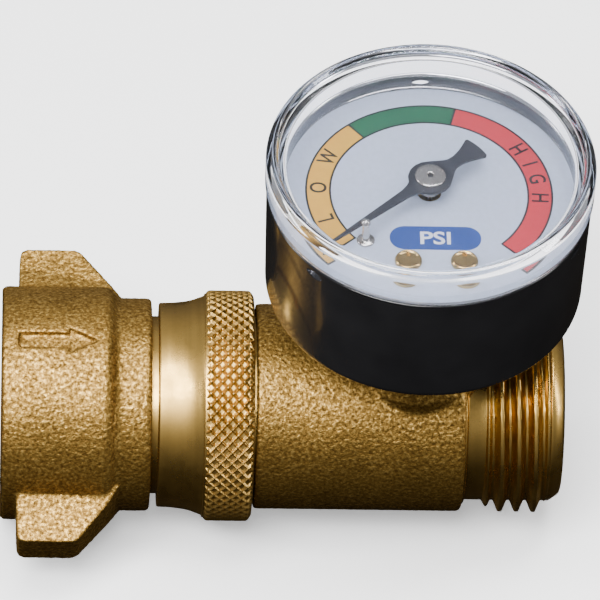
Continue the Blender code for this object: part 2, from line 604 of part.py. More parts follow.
def movement_frame():
    """Two plates held apart by pillars; the upper one also reaches out under the dial screws."""
    lower = [(-13.2, -6), (4.8, -6), (4.8, 5), (-13.2, 5)]
    upper = [(-13.2, -6), (-5.5, -6), (-5.5, -14.2), (5.5, -14.2), (5.5, -6), (4.8, 5), (-13.2, 5)]
    arbors = ((PIVOT_DX, 0), (0, 0))
    for name, outline, low, holes in (("back_plate", lower, PLATE_LOW_Z, arbors),
                                      ("front_plate", upper, PLATE_HIGH_Z, arbors + PILLARS)):
        piece = add_object(name, plate(outline, low, low + PLATE_T, on_gauge(0, 0)), "machined_brass")
        for k, (x, y) in enumerate(holes):
            cutter = rod(0.8, low - 1, low + PLATE_T + 1, on_gauge(x, y))
            combine(piece, "DIFFERENCE", cutter, f"{name}_hole_{k}")
    low, high = PLATE_LOW_Z + PLATE_T + GAP, PLATE_HIGH_Z - GAP
    for k, (x, y) in enumerate(PILLARS, 1):
        at = on_gauge(x, y)
        profile = [(low, 0), (low, 1.0), (high, 1.0), (high, 0.75), (high - 2.2, 0.75), (high - 2.2, 0)]
        add_object(f"pillar_{k}", lathe(profile, "Z", 12, at, closed=False), "machined_brass")
        top = PLATE_HIGH_Z + PLATE_T + GAP
        screw = [(high - 1.8, 0), (high - 1.8, 0.45), (top, 0.45), (top, 1.2), (top + 0.6, 1.2), (top + 0.6, 0)]
        add_object(f"plate_screw_{k}", lathe(screw, "Z", 12, at, closed=False), "spring_steel")


def dial_parts():
    """Printed dial on two posts, its two slotted screws and the pointer's stop pin."""
    centre = on_gauge(0, 0)
    low = DIAL_Z - DIAL_T
    dial = add_object("dial", lathe([(low, 1.6), (low, DIAL_R), (DIAL_Z, DIAL_R), (DIAL_Z, 1.6)], "Z", GAUGE_SEGMENTS,
                                    centre), "dial_print")
    for side, name in ((-1, "left"), (1, "right")):
        at = on_gauge(DIAL_SCREW_DX * side, DIAL_SCREW_DY)
        combine(dial, "DIFFERENCE", rod(1.1, low - 1, DIAL_Z + 1, at, 12), f"dial_hole_{name}")
        base, top = PLATE_HIGH_Z + PLATE_T + GAP, low - GAP
        post = [(base, 0), (base, 1.5), (top, 1.5), (top, 1.1), (top - 1.8, 1.1), (top - 1.8, 0)]
        add_object(f"dial_post_{name}", lathe(post, "Z", 16, at, closed=False), "machined_brass")
        head = DIAL_Z + GAP
        screw = [(top - 1.4, 0), (top - 1.4, 0.8), (head, 0.8), (head, 1.75), (head + 0.5, 1.75),
                 (head + 0.7, 1.45), (head + 0.7, 0)]
        piece = add_object(f"dial_screw_{name}", lathe(screw, "Z", 20, at, closed=False), "machined_brass")
        slot = box(at[0] - 2.5, at[0] + 2.5, at[1] - 0.25, at[1] + 0.25, head + 0.35, head + 1.5)
        combine(piece, "DIFFERENCE", slot, f"dial_screw_slot_{name}")
    x, y = polar(STOP_PIN_R, STOP_PIN_DEG)
    combine(dial, "DIFFERENCE", rod(0.85, low - 1, DIAL_Z + 1, on_gauge(x, y), 12), "stop_pin_hole")
    base = DIAL_Z + GAP
    pin = [(low - 0.4, 0), (low - 0.4, 0.5), (base, 0.5), (base, 1.2), (base + 0.4, 1.2), (base + 0.5, 0.53),
           (44.4, 0.53), (44.75, 0.38), (44.9, 0)]
    add_object("stop_pin", lathe(pin, "Z", 16, on_gauge(x, y), closed=False), "nickel")


def pointer_parts(pivot):
    """Enamelled pointer with a fan-shaped tail, and the hub that grips it on the arbor."""
    thickness, hub_r, tip_r, tail_r = 0.4, 2.7, 17.6, 8.6
    origin = (*on_gauge(0, 0), POINTER_Z)
    outline = [(tip_r, 0.12), (12.5, 0.35), (4.0, 0.9)]
    outline += [polar(hub_r, 25 + 26 * k) for k in range(5)]
    outline += [polar(tail_r, degrees) for degrees in (167, 173.5, 180, 186.5, 193)]
    outline += [polar(hub_r, -129 + 26 * k) for k in range(5)]
    outline += [(4.0, -0.9), (12.5, -0.35), (tip_r, -0.12)]
    bm = plate(outline, POINTER_Z, POINTER_Z + thickness)
    turn = Matrix.Translation((GAUGE_X, 0, 0)) @ Matrix.Rotation(math.radians(REST_DEG), 4, "Z")
    bmesh.ops.transform(bm, matrix=turn, verts=bm.verts)
    pointer = add_object("pointer", bm, "pointer_enamel", pivot, origin)
    combine(pointer, "DIFFERENCE", rod(1.5, POINTER_Z - 1, POINTER_Z + 1, on_gauge(0, 0)), "pointer_hole")
    top = POINTER_Z + thickness + GAP
    hub = [(41.3, 0.75), (41.3, 1.4), (42.9, 1.5), (42.9, 1.2), (top, 1.2), (top, 1.9), (top + 0.35, 1.9),
           (top + 0.5, 1.7), (top + 0.5, 0.35), (top, 0.35), (top, 0.75)]
    add_object("pointer_hub", lathe(hub, "Z", SMALL_SEGMENTS, on_gauge(0, 0)), "nickel", pivot, origin)


def build():
    clear_scene()
    swivel = add_pivot("swivel_axis", (0, 0, 0))
    swivel_coupling(swivel)
    inlet_cap()
    swivel_parts(swivel)
    filter_and_seat()
    piston_parts()
    regulating_spring()
    regulator_body()
    gauge_socket()
    case_parts()
    link(bourdon_tube())
    pointer_parts(movement())
    movement_frame()
    dial_parts()


build()
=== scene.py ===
"""Looks for the inline water pressure regulator: fine meshes, procedural materials, light and camera."""

import math

import bmesh
import bpy
from mathutils import Matrix, Vector, noise


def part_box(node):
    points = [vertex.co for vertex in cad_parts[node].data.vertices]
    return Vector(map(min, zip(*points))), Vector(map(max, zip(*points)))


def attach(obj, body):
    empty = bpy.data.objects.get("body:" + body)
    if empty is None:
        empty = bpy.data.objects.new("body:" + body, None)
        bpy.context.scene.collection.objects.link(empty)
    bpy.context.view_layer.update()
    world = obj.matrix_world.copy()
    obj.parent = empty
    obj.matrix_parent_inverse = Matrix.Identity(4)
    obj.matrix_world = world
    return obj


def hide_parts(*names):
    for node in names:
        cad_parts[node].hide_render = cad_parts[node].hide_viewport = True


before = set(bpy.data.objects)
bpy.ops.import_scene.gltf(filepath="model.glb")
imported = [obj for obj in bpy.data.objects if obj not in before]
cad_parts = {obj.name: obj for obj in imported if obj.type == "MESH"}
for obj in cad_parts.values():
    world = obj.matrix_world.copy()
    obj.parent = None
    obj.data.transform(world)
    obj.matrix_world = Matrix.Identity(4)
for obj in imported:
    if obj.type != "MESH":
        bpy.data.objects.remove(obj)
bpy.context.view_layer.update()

MM = 0.001
PEEL_SIZE = 0.3 * MM  # grain of a moulded surface
MERGE = 1e-4  # points closer than this many millimetres become one

# ---------------------------------------------------------------- sizes taken from the frame, in millimetres


def node_box(name):
    low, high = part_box(name)
    return low / MM, high / MM


nut_high = node_box("swivel_coupling")[1]
body_low, body_high = node_box("regulator_body")
case_low, case_high = node_box("gauge_case")
lens_high = node_box("gauge_lens")[1]
dial_low, dial_high = node_box("dial")

GAUGE_X = (case_low.x + case_high.x) / 2
NUT_END_X = nut_high.x
BODY_X = body_low.x
TOTAL_X = body_high.x
KNURL_END_X = BODY_X - 0.3
KNURL_X = KNURL_END_X - 6.5
COLLAR_X = NUT_END_X + 0.95
NUT_R = 15.4
NUT_BAND_R = 14.0
TAIL_R = 11.7
BODY_R = 13.5
NECK_R = 11.95
BODY_END_X = TOTAL_X - 13.0
THREAD_X = TOTAL_X - 10.3
THREAD_END_X = TOTAL_X - 1.75
CREST_R = 13.49
HOSE_PITCH = 2.209
WING_R = 21.0
WING_TILT = math.radians(18)
CASE_Z = case_low.z
RIM_Z = case_high.z
CASE_BASE_R = 20.54
CASE_TOP_R = 20.95
LENS_Z = lens_high.z
LENS_R = 21.2
DIAL_Z = dial_high.z
DIAL_R = 19.55
REST_DEG = -138.0
SNAP_WINDOWS = (-136.0, -28.0, 92.0)
POINTER_Z = 43.2


# ---------------------------------------------------------------- materials

def new_material(name, colour, metallic=0.0, roughness=0.5, **sockets):
    """A Principled material; the constant values sit on the shader's own sockets."""
    material = bpy.data.materials.new(name)
    material.use_nodes = True
    shader = material.node_tree.nodes["Principled BSDF"]
    shader.inputs["Base Color"].default_value = (*colour, 1)
    shader.inputs["Metallic"].default_value = metallic
    shader.inputs["Roughness"].default_value = roughness
    for socket, value in sockets.items():
        shader.inputs[socket.replace("_", " ")].default_value = value
    return material


class Nodes:
    """Short calls for adding linked shader nodes to one material."""

    def __init__(self, material):
        self.tree = material.node_tree
        self.shader = self.tree.nodes["Principled BSDF"]

    def add(self, kind, **settings):
        node = self.tree.nodes.new(kind)
        for key, value in settings.items():
            setattr(node, key, value)
        return node

    def link(self, source, target):
        self.tree.links.new(source, target)

    def coordinates(self, stretch=(1, 1, 1)):
        where = self.add("ShaderNodeTexCoord")
        mapping = self.add("ShaderNodeMapping")
        mapping.inputs["Scale"].default_value = stretch
        self.link(where.outputs["Object"], mapping.inputs["Vector"])
        return mapping.outputs["Vector"]

    def noise(self, scale, detail=3.0, rough=0.55, stretch=(1, 1, 1)):
        node = self.add("ShaderNodeTexNoise")
        node.inputs["Scale"].default_value = scale
        node.inputs["Detail"].default_value = detail
        node.inputs["Roughness"].default_value = rough
        self.link(self.coordinates(stretch), node.inputs["Vector"])
        return node.outputs["Fac"]

    def ramp(self, factor, *stops):
        """Colour ramp; each stop is (position, colour or grey)."""
        node = self.add("ShaderNodeValToRGB")
        elements = node.color_ramp.elements
        while len(elements) < len(stops):
            elements.new(0.5)
        for element, (position, colour) in zip(elements, stops):
            element.position = position
            colour = (colour,) * 3 if isinstance(colour, (int, float)) else colour
            element.color = (*colour, 1)
        self.link(factor, node.inputs["Fac"])
        return node.outputs["Color"]

    def multiply(self, a, b):
        node = self.add("ShaderNodeMix", data_type="RGBA", blend_type="MULTIPLY")
        node.inputs["Factor"].default_value = 1.0
        self.link(a, node.inputs[6])
        self.link(b, node.inputs[7])
        return node.outputs[2]

    def bump(self, height, distance, strength=1.0, below=None):
        node = self.add("ShaderNodeBump")
        node.inputs["Distance"].default_value = distance
        node.inputs["Strength"].default_value = strength
        self.link(height, node.inputs["Height"])
        if below is not None:
            self.link(below, node.inputs["Normal"])
        return node.outputs["Normal"]


def cast_brass():
    """Sand-cast brass: gritty grains about 0.45 mm across, dull hollows and brighter high spots."""
    material = new_material("cast_brass", (0.40, 0.25, 0.08), 0.92, 0.5)
    n = Nodes(material)
    grain = n.noise(2300, 2.0, 0.6)
    fine = n.noise(6000, 2.0, 0.6)
    patches = n.noise(160, 2.0)
    high_spots = n.ramp(grain, (0.30, (0.10, 0.050, 0.009)), (0.52, (0.30, 0.170, 0.036)),
                        (0.72, (0.72, 0.45, 0.12)))
    tone = n.ramp(patches, (0.3, 0.80), (0.7, 1.0))
    n.link(n.multiply(high_spots, tone), n.shader.inputs["Base Color"])
    n.link(n.ramp(grain, (0.3, 0.62), (0.7, 0.36)), n.shader.inputs["Roughness"])
    normal = n.bump(fine, 0.00004, 0.5)
    n.link(n.bump(grain, 0.00016, 0.8, normal), n.shader.inputs["Normal"])
    return material


def machined_brass(name="machined_brass", axis="X", colour=(0.68, 0.42, 0.11), roughness=0.22):
    """Turned brass: fine rings about its axis, with a faint tarnish."""
    material = new_material(name, colour, 1.0, roughness, Anisotropic=0.5)
    n = Nodes(material)
    along = {"X": (1, 0.02, 0.02), "Z": (0.02, 0.02, 1)}[axis]
    rings = n.noise(9000, 2.0, 0.6, along)
    broad = n.noise(900, 3.0, 0.6, along)
    tarnish = n.noise(240, 4.0, 0.6)
    dark = tuple(c * 0.62 for c in colour)
    tone = n.ramp(tarnish, (0.35, dark), (0.62, colour))
    streaks = n.ramp(broad, (0.3, 0.82), (0.7, 1.0))
    n.link(n.multiply(tone, streaks), n.shader.inputs["Base Color"])
    n.link(n.ramp(tarnish, (0.3, roughness + 0.14), (0.7, roughness)), n.shader.inputs["Roughness"])
    n.link(n.bump(rings, 0.00001, 0.5), n.shader.inputs["Normal"])
    tangent = n.add("ShaderNodeTangent", direction_type="RADIAL", axis=axis)
    n.link(tangent.outputs["Tangent"], n.shader.inputs["Tangent"])
    return material


def plated(name, colour, roughness):
    """Plated or drawn metal with a faint brushed grain."""
    material = new_material(name, colour, 1.0, roughness)
    n = Nodes(material)
    grain = n.noise(5000, 3.0, 0.6, (1, 0.15, 1))
    n.link(n.ramp(grain, (0.3, roughness * 0.7), (0.7, roughness * 1.4)), n.shader.inputs["Roughness"])
    n.link(n.bump(grain, 0.000006, 0.5), n.shader.inputs["Normal"])
    return material


def moulded(name, colour, roughness, coat=0.0):
    """Moulded plastic or rubber: an even colour with the slight orange peel of its mould."""
    material = new_material(name, colour, 0.0, roughness, Coat_Weight=coat)
    n = Nodes(material)
    peel = n.noise(1 / PEEL_SIZE, 2.0)
    broad = n.noise(120, 2.0)
    light = tuple(min(1, c * 1.25 + 0.002) for c in colour)
    n.link(n.ramp(broad, (0.3, colour), (0.7, light)), n.shader.inputs["Base Color"])
    n.link(n.ramp(broad, (0.3, roughness * 0.85), (0.7, roughness * 1.2)), n.shader.inputs["Roughness"])
    n.link(n.bump(peel, 0.000012, 0.35), n.shader.inputs["Normal"])
    return material


def printed(name, colour, roughness=0.45):
    """Screen-printed ink or enamel: faintly mottled and slightly proud."""
    material = new_material(name, colour, 0.0, roughness)
    n = Nodes(material)
    mottle = n.noise(1400, 3.0)
    pale = tuple(min(1, c * 1.06 + 0.003) for c in colour)
    n.link(n.ramp(mottle, (0.35, colour), (0.65, pale)), n.shader.inputs["Base Color"])
    n.link(n.bump(mottle, 0.000004, 0.4), n.shader.inputs["Normal"])
    return material


def clear_plastic():
    """Polished clear polycarbonate with a faint lavender cast."""
    material = new_material("clear_plastic", (0.94, 0.95, 1.0), 0.0, 0.015, Transmission_Weight=1.0,
                            IOR=1.5)
    n = Nodes(material)
    waves = n.noise(260, 1.0)
    n.link(n.bump(waves, 0.00002, 0.25), n.shader.inputs["Normal"])
    return material


CAST = cast_brass()
TURNED_X = machined_brass()
TURNED_Z = machined_brass("machined_brass_upright", "Z")
KNURL_BRASS = machined_brass("knurled_brass", "X", (0.60, 0.37, 0.10), 0.3)
BRIGHT_SCREW = machined_brass("bright_screw_brass", "Z", (0.80, 0.56, 0.24), 0.16)
BRONZE = plated("phosphor_bronze", (0.52, 0.30, 0.14), 0.35)
STEEL = plated("spring_steel", (0.48, 0.48, 0.50), 0.32)
NICKEL = plated("nickel", (0.66, 0.63, 0.58), 0.2)
RUBBER = moulded("black_rubber", (0.018, 0.018, 0.018), 0.7)
CASE_BLACK = moulded("case_black", (0.010, 0.010, 0.011), 0.16, 0.4)
WHITE_PLASTIC = moulded("white_plastic", (0.72, 0.72, 0.69), 0.4)
CLEAR = clear_plastic()
DIAL_WHITE = printed("dial_pale_blue", (0.48, 0.54, 0.66))
INK_BLACK = printed("ink_black", (0.012, 0.012, 0.014))
INK_YELLOW = printed("ink_yellow", (0.66, 0.35, 0.035))
INK_GREEN = printed("ink_green", (0.006, 0.105, 0.048))
INK_RED = printed("ink_red", (0.50, 0.020, 0.035))
INK_BLUE = printed("ink_blue", (0.014, 0.055, 0.25))
INK_WHITE = printed("ink_white", (0.80, 0.82, 0.85))
POINTER_PAINT = printed("pointer_enamel", (0.022, 0.025, 0.036), 0.38)


# ---------------------------------------------------------------- mesh helpers

def metre_mesh(name, bm):
    """A mesh in metres from a millimetre bmesh: doubles merged, faces turned outwards, bmesh freed."""
    bmesh.ops.remove_doubles(bm, verts=bm.verts, dist=MERGE)
    bmesh.ops.recalc_face_normals(bm, faces=bm.faces)
    bmesh.ops.scale(bm, verts=bm.verts, vec=(MM, MM, MM))
    mesh = bpy.data.meshes.new(name)
    bm.to_mesh(mesh)
    bm.free()
    return mesh


def make_piece(name, bm, material, body, slot, *nodes, sharp=32):
    """Turn a millimetre bmesh into a piece that rides on a body and stands for its CAD nodes."""
    return dress(bpy.data.objects.new(name, metre_mesh(name, bm)), material, body, slot, *nodes, sharp=sharp)


def dress(obj, material, body, slot, *nodes, sharp=32):
    """Give a new object its material, shading, body and the nodes that it replaces; the slot argument is not
    used.
    """
    obj.data.shade_smooth()
    obj.data.set_sharp_from_angle(angle=math.radians(sharp))
    obj.data.materials.clear()
    obj.data.materials.append(material)
    if not obj.users_collection:
        bpy.context.scene.collection.objects.link(obj)
    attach(obj, body)
    if nodes:
        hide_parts(*nodes)
    return obj


def rounded(corners, steps=4):
    """Profile through (station, radius, rounding) corners, with an arc-like bend at each rounded one."""
    points = []
    count = len(corners)
    for k, corner in enumerate(corners):
        here = Vector(corner[:2])
        size = corner[2] if len(corner) > 2 else 0.0
        before = Vector(corners[k - 1][:2]) - here
        after = Vector(corners[(k + 1) % count][:2]) - here
        size = min(size, before.length * 0.49, after.length * 0.49)
        if size < 1e-6:
            points.append(tuple(here))
            continue
        a, b = here + before.normalized() * size, here + after.normalized() * size
        for i in range(steps + 1):
            t = i / steps
            points.append(tuple(a * (1 - t) ** 2 + here * 2 * t * (1 - t) + b * t * t))
    return points


def place(axis, along, radius, angle):
    """A point at a station and radius: about X from +Y towards +Z, or about Z from +X to +Y."""
    c, s = radius * math.cos(angle), radius * math.sin(angle)
    return (along, c, s) if axis == "X" else (c, s, along)


def turned(profile, axis="X", segments=192, centre=(0, 0), closed=True, shape=None):
    """Turn a profile about an axis; shape(along, radius, angle) may press a pattern into it."""
    bm = bmesh.new()
    rows = []
    for along, radius in profile:
        row = []
        for j in range(segments if radius > 1e-6 else 1):
            angle = math.tau * j / segments
            r = shape(along, radius, angle) if shape else radius
            row.append(bm.verts.new(place(axis, along, r, angle)))
        rows.append(row)
    pairs = list(zip(rows, rows[1:])) + ([(rows[-1], rows[0])] if closed else [])
    for a, b in pairs:
        for j in range(segments):
            k = (j + 1) % segments
            corners = (a[j % len(a)], a[k % len(a)], b[k % len(b)], b[j % len(b)])
            unique = list(dict.fromkeys(corners))
            if len(unique) > 2:
                bm.faces.new(unique)
    shift = (0, *centre) if axis == "X" else (*centre, 0)
    bmesh.ops.translate(bm, verts=bm.verts, vec=shift)
    return bm


def plate(outline, low, high, bevel=0.0):
    """Extrude an outline in the XY plane between two heights, with optionally softened edges."""
    bm = bmesh.new()
    face = bm.faces.new([bm.verts.new((x, y, low)) for x, y in outline])
    top = bmesh.ops.extrude_face_region(bm, geom=[face])["geom"]
    top_verts = [v for v in top if isinstance(v, bmesh.types.BMVert)]
    bmesh.ops.translate(bm, verts=top_verts, vec=(0, 0, high - low))
    if bevel:
        rims = [e for e in bm.edges if abs(e.verts[0].co.z - e.verts[1].co.z) < 1e-6]
        bmesh.ops.bevel(bm, geom=rims, offset=bevel, segments=2, affect="EDGES", profile=0.6)
    return bm


def polar(radius, degrees, centre=(0, 0)):
    a = math.radians(degrees)
    return centre[0] + radius * math.cos(a), centre[1] + radius * math.sin(a)


def joined(*parts):
    """One bmesh that holds several."""
    bm = bmesh.new()
    for part in parts:
        mesh = bpy.data.meshes.new("part")
        part.to_mesh(mesh)
        part.free()
        bm.from_mesh(mesh)
        bpy.data.meshes.remove(mesh)
    return bm


def raw_object(name, bm):
    """A helper object in metres, for modifiers; it is removed after use."""
    obj = bpy.data.objects.new(name, metre_mesh(name, bm))
    bpy.context.scene.collection.objects.link(obj)
    return obj


def evaluated(obj, helpers=()):
    """Apply an object's modifiers, then remove the helper objects."""
    graph = bpy.context.evaluated_depsgraph_get()
    mesh = bpy.data.meshes.new_from_object(obj.evaluated_get(graph))
    obj.modifiers.clear()
    obj.data = mesh
    for helper in helpers:
        bpy.data.objects.remove(helper)
    return obj


def cut(obj, tools, operation="DIFFERENCE"):
    """Boolean an object with several shapes and apply the result."""
    helpers = []
    for k, bm in enumerate(tools):
        helper = raw_object(f"tool_{k}", bm)
        modifier = obj.modifiers.new(helper.name, "BOOLEAN")
        modifier.operation = operation
        modifier.solver = "EXACT"
        modifier.object = helper
        helpers.append(helper)
    return evaluated(obj, helpers)


def casting(obj, voxel, smooth_steps, grit, seed):
    """Soften a sharp solid into a casting: remesh, smooth, then roughen it like sand."""
    obj.data.transform(Matrix.Scale(1 / MM, 4))
    remesh = obj.modifiers.new("skin", "REMESH")
    remesh.mode = "VOXEL"
    remesh.voxel_size = voxel
    smooth = obj.modifiers.new("soften", "SMOOTH")
    smooth.iterations = smooth_steps
    smooth.factor = 0.5
    evaluated(obj)
    offset = Vector((seed, 0, 0))
    normals = [v.normal.copy() for v in obj.data.vertices]
    for vertex, normal in zip(obj.data.vertices, normals):
        bumps = noise.noise(vertex.co * 2.1 + offset) + 0.6 * noise.noise(vertex.co * 4.3 + offset)
        vertex.co += normal * (grit * bumps)
    obj.data.transform(Matrix.Scale(MM, 4))
    return obj


# ---------------------------------------------------------------- inlet coupling

def wing(side):
    """One finger wing: a fin that is thick at its root and slopes down towards the band."""
    direction = Vector((0, -math.cos(WING_TILT), -math.sin(WING_TILT))) * side
    across = Vector((1, 0, 0)).cross(direction)
    outline = [(2.2, 12.5), (2.2, 18.0), (2.3, WING_R - 0.9), (2.6, WING_R - 0.2), (3.4, WING_R),
               (9.4, WING_R), (10.2, WING_R - 0.25), (10.8, WING_R - 0.9), (14.4, 15.6), (16.3, 12.5)]
    bm = bmesh.new()
    sides = []
    for sign in (-1, 1):
        ring = []
        for x, r in outline:
            half = 2.9 + (WING_R - r) ** 2 * 0.028
            ring.append(bm.verts.new(Vector((x, 0, 0)) + direction * r + across * half * sign))
        sides.append(ring)
    count = len(outline)
    for k in range(count - 1):
        bm.faces.new((sides[0][k], sides[0][k + 1], sides[1][k + 1], sides[1][k]))
    bm.faces.new((sides[0][-1], sides[0][0], sides[1][0], sides[1][-1]))
    for ring in sides:
        for k in range(1, count // 2):
            bm.faces.new((ring[k - 1], ring[k], ring[count - 1 - k], ring[count - k]))
    return bm


def flow_arrow():
    """The arrow's cutter: it points along the flow and lies midway between the wings."""
    shaft, head, neck_x, x0, x1 = 1.15, 1.95, 8.8, 2.3, 12.6
    outline = [(x0, -shaft), (neck_x, -shaft), (neck_x, -head), (x1, 0), (neck_x, head), (neck_x, shaft),
               (x0, shaft)]
    bm = plate(outline, NUT_R - 0.75, NUT_R + 1.5)
    bmesh.ops.rotate(bm, verts=bm.verts, matrix=Matrix.Rotation(math.radians(9), 3, "X"))
    return bm


def coupling():
    """The cast shell with its wings and arrow, and the machined socket inside it."""
    shell_profile = rounded([
        (0.15, 13.9), (0.15, NUT_R - 0.05, 0.5), (14.2, NUT_R, 1.2), (15.1, NUT_BAND_R, 0.9),
        (NUT_END_X, NUT_BAND_R, 0.7), (NUT_END_X, 12.3), (16.0, 12.3), (15.5, 13.9)])
    shell = raw_object("coupling_casting", turned(shell_profile))
    cut(shell, [wing(1), wing(-1)], "UNION")
    cut(shell, [flow_arrow()])
    casting(shell, 0.2, 5, 0.045, 3.0)
    dress(shell, CAST, "coupling", "cast_brass", "swivel_coupling", sharp=180)

    step = 0.12
    rows = [(0.9 + step * k, 13.6) for k in range(int(8.6 / step))]

    def thread(x, r, angle):
        if not 0.8 < x < 9.6 or r < 13.0 or r > 13.7:
            return r
        return r - hose_ridge(x, angle, 0.9, 9.5)

    profile = [(0.35, 13.95), (0.0, 14.3), (0.0, NUT_R - 0.5), (0.2, NUT_R - 0.25), (0.4, 14.0),
               (15.6, 14.0), (16.2, 12.4), (NUT_END_X + 0.02, 12.4), (NUT_END_X + 0.02, 12.05),
               (15.3, 12.05), (15.3, 13.3), (10.2, 13.3), (9.8, 13.6)]
    bm = turned(profile + rows[::-1], shape=thread)
    make_piece("coupling_socket", bm, TURNED_X, "coupling", "machined_brass")

    washer = turned(rounded([(9.7, 7.5, 0.4), (9.7, 12.2, 0.4), (12.4, 12.2, 0.4), (12.4, 7.5, 0.4)]),
                    segments=96)
    make_piece("hose_washer_ring", washer, RUBBER, "coupling", "black_rubber", "hose_washer")


def hose_ridge(x, angle, start, end):
    """Height of the hose thread's ridge: rounded V flanks, fading in and out at the ends."""
    turn = ((x - start) / HOSE_PITCH - angle / math.tau) % 1.0
    flank = 1.0 - abs(turn * 2 - 1.0)
    height = min(1.0, max(0.0, (flank - 0.14) / 0.66))
    height = height * height * (3 - 2 * height) * 0.35 + height * 0.65
    fade = min(1.0, max(0.0, (x - start) / 0.9), max(0.0, (end - x) / 0.9))
    return (CREST_R - NECK_R) * height * fade


# ---------------------------------------------------------------- inlet cap

def inlet_cap():
    """Tail, flared collar and knurled ring, turned from one bar."""
    cap = turned(rounded([
        (12.7, 8.0), (12.7, TAIL_R, 0.4), (13.9, TAIL_R), (13.9, 10.7), (15.3, 10.7), (15.3, TAIL_R),
        (COLLAR_X, TAIL_R, 0.1), (COLLAR_X, 13.45, 0.25), (22.4, 13.5, 0.5), (24.6, 13.75, 1.0),
        (KNURL_X - 0.35, 14.35, 0.4), (KNURL_X, 14.5, 0.05), (KNURL_X, 14.75, 0.1), (KNURL_X + 0.6, 14.8),
        (KNURL_X + 0.6, 12.0), (KNURL_END_X + 0.2, 12.0), (KNURL_END_X + 0.2, 11.2), (40.0, 11.2, 0.4),
        (40.0, 8.9), (30.5, 8.9), (30.5, 4.8), (24.5, 4.8), (24.5, 6.5), (18.3, 6.5), (18.3, 8.0)]))
    make_piece("cap_turning", cap, TURNED_X, "regulator", "machined_brass", "inlet_cap")

    width = KNURL_END_X - KNURL_X
    across, around, segments = 4.5, 60, 720
    pitch = width / across

    def knurl(x, r, angle):
        if r < 14.6:
            return r
        edge = min(x - KNURL_X, KNURL_END_X - x)
        roll = max(0.0, 1.0 - edge / 0.75)
        u = (x - KNURL_X) / pitch + angle * around / math.tau
        v = (x - KNURL_X) / pitch - angle * around / math.tau
        ridge = max(1 - abs((u % 1.0) * 2 - 1) * 2.6, 1 - abs((v % 1.0) * 2 - 1) * 2.6, 0.0)
        hollow = 0.34 * (1 - min(1.0, ridge * 1.3)) * min(1.0, edge / 0.3)
        return r - roll * roll * 0.75 - hollow

    rows = [(KNURL_X + width * k / 72, 15.2) for k in range(73)]
    ring = turned([(KNURL_X, 12.0)] + rows + [(KNURL_END_X, 12.0)], segments=segments, shape=knurl)
    make_piece("knurled_ring", ring, KNURL_BRASS, "regulator", "machined_brass", sharp=60)

    steel = turned(rounded([(14.2, 11.0, 0.1), (14.2, 13.0, 0.1), (15.0, 13.0, 0.1), (15.0, 11.0, 0.1)]))
    make_piece("snap_ring_wire", steel, STEEL, "regulator", "spring_steel", "swivel_snap_ring")


def inlet_screen():
    """Woven strainer in the tail: two layers of wire over the dished rim."""
    rim = turned(rounded([(14.2, 7.0, 0.1), (14.2, 7.7, 0.2), (15.0, 7.7, 0.2), (15.0, 6.9, 0.1)]),
                 segments=96)
    wires = []
    wire_r, spacing, reach = 0.13, 0.75, 7.2
    count = int(reach / spacing)
    for direction in (0, 1):
        for k in range(-count, count + 1):
            offset = k * spacing
            half = math.sqrt(reach ** 2 - offset ** 2)
            bm = bmesh.new()
            rings = []
            steps = max(4, int(half / 0.45))
            for i in range(steps + 1):
                t = -half + 2 * half * i / steps
                dish = 13.3 + (t * t + offset * offset) * 0.02
                weave = 0.15 * math.cos(math.pi * (t / spacing + k + direction))
                ring = []
                for side in range(6):
                    a = math.tau * side / 6
                    shift, lift = offset + wire_r * math.cos(a), dish + weave + wire_r * math.sin(a)
                    point = (lift, shift, t) if direction else (lift, t, shift)
                    ring.append(bm.verts.new(point))
                rings.append(ring)
            for a, b in zip(rings, rings[1:]):
                for s in range(6):
                    bm.faces.new((a[s], a[(s + 1) % 6], b[(s + 1) % 6], b[s]))
            bm.faces.new(rings[0])
            bm.faces.new(rings[-1])
            wires.append(bm)
    make_piece("filter_rim", rim, STEEL, "regulator", "spring_steel")
    make_piece("filter_mesh", joined(*wires), STEEL, "regulator", "spring_steel", "inlet_filter")


# ---------------------------------------------------------------- body and outlet

